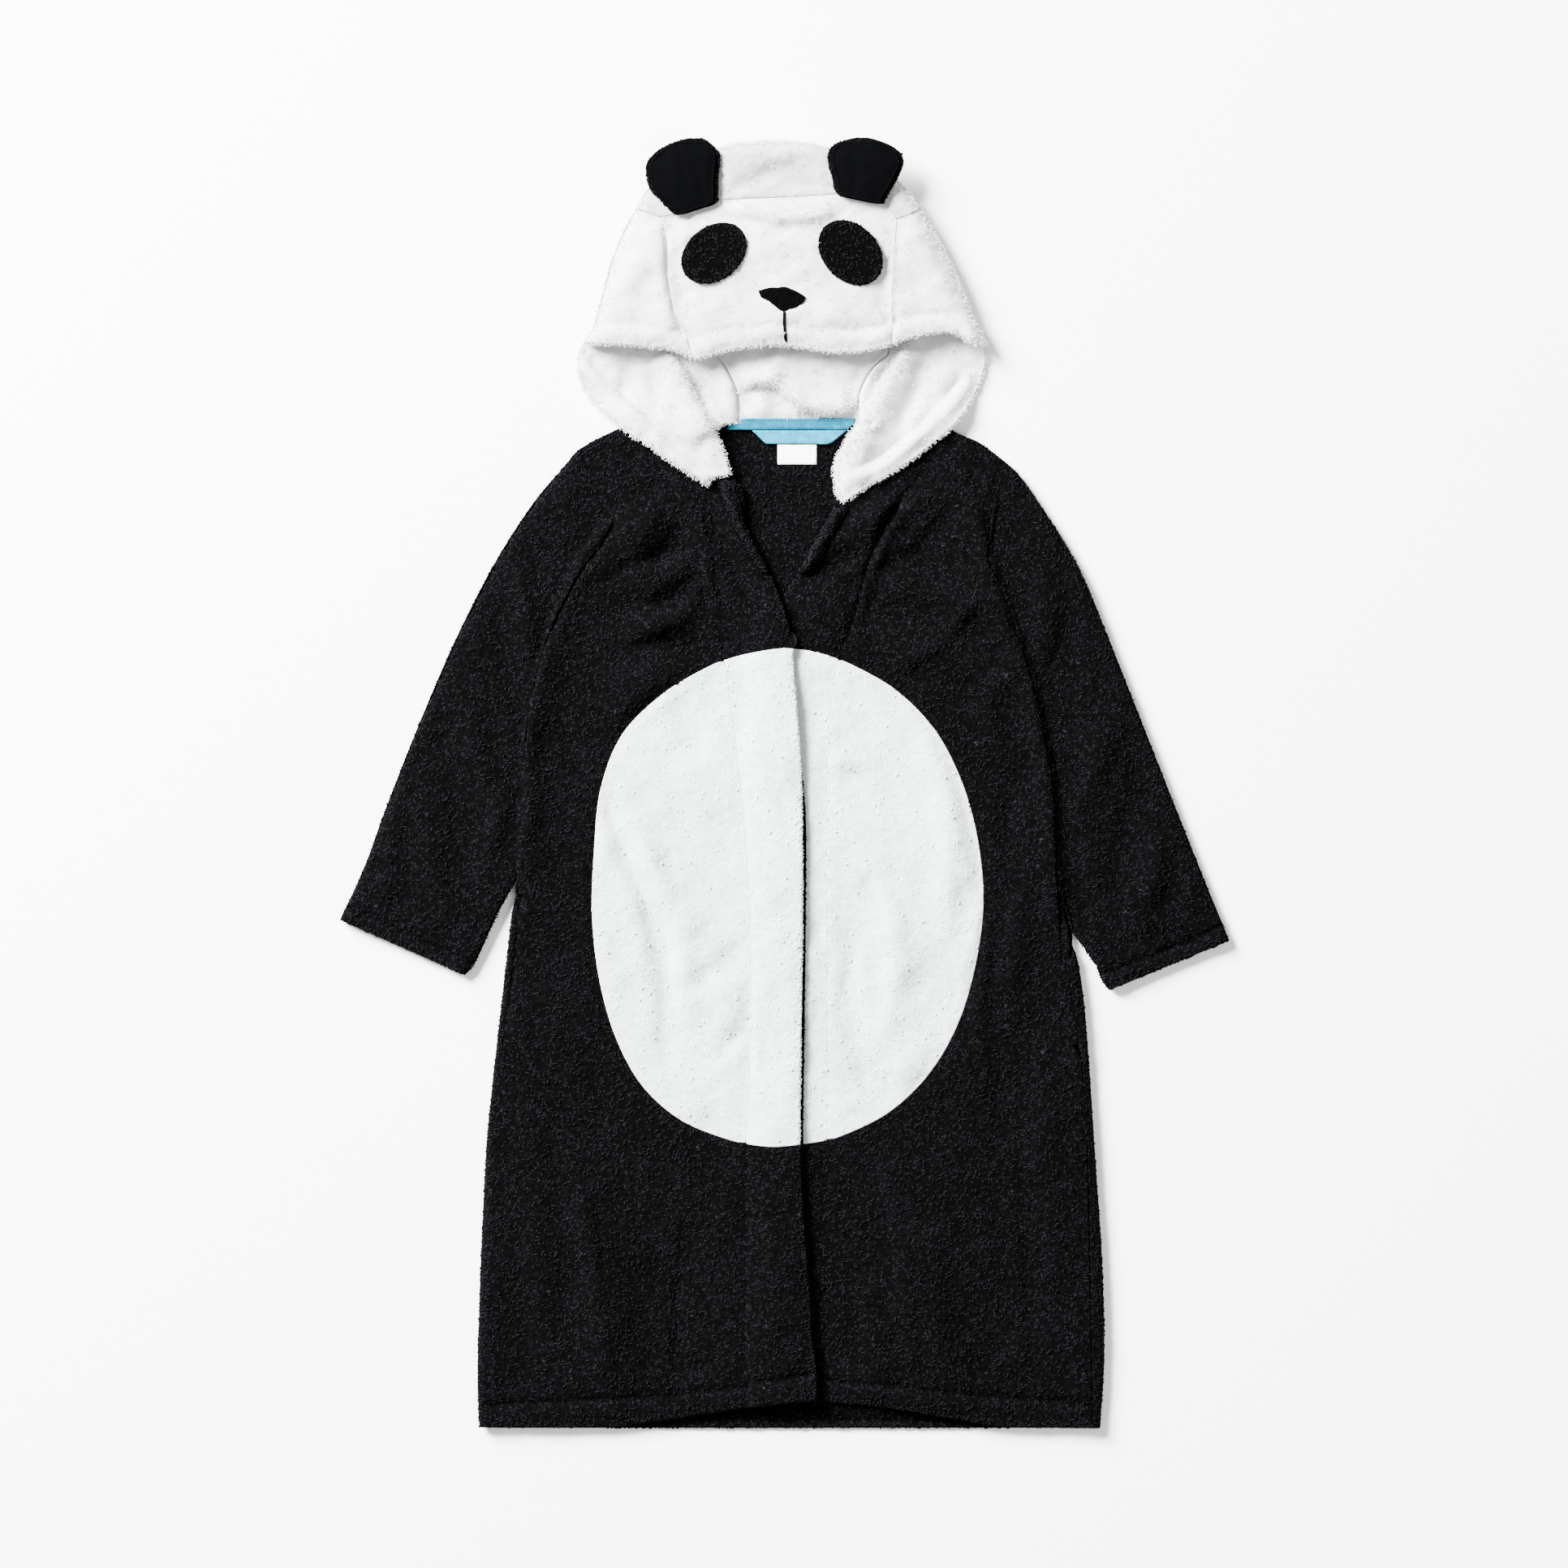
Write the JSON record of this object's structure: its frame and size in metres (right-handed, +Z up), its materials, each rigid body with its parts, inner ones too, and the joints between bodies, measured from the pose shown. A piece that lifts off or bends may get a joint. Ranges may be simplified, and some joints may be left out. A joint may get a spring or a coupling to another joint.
{
  "type": "hooded dressing gown",
  "caption": "Child's fleece dressing gown laid flat, with an animal face hood, ears, a pale tummy oval and a hidden button front.",
  "frame": {"origin": "centre of the bounding box, on the surface that the gown lies on", "axes": "+X to the right of the gown as it lies front up, +Y from hem to hood, +Z up from the surface"},
  "size_m": [0.6568, 0.952, 0.025],
  "materials": {
    "black_fleece": "curly clumped pile, matt",
    "white_fleece": "curly clumped pile, matt",
    "white_plush": "soft plush, matt",
    "black_woven": "smooth plain weave, matt",
    "turquoise_twill": "herringbone twill tape, matt",
    "label_woven": "smooth satin weave",
    "button_black": "satin"
  },
  "bodies": {
    "root": {"back": "black_fleece", "front_left": "black_fleece", "front_right": "black_fleece", "tummy_left": "white_fleece", "tummy_right": "white_fleece", "band_left_upper": "black_fleece", "band_left_middle": "white_fleece", "band_left_lower": "black_fleece", "band_right_upper": "black_fleece", "band_right_middle": "white_fleece", "band_right_lower": "black_fleece", "placket_left": "black_fleece", "placket_left_turned": "black_fleece", "edge_right_turned": "black_fleece", "pocket_right": "black_fleece", "button_1": "button_black", "button_2": "button_black", "button_3": "button_black", "button_4": "button_black", "sleeve_left": "black_fleece", "sleeve_right": "black_fleece", "hood_centre_back": "white_plush", "hood_side_left": "white_plush", "hood_side_right": "white_plush", "hood_face": "white_plush", "hood_crown": "white_plush", "ear_left_back": "black_fleece", "ear_left_front": "black_woven", "ear_right_back": "black_fleece", "ear_right_front": "black_woven", "eye_left": "black_fleece", "eye_right": "black_fleece", "nose": "black_fleece", "neck_tape": "turquoise_twill", "hanging_loop": "turquoise_twill", "label": "label_woven"}
  },
  "joints": []
}
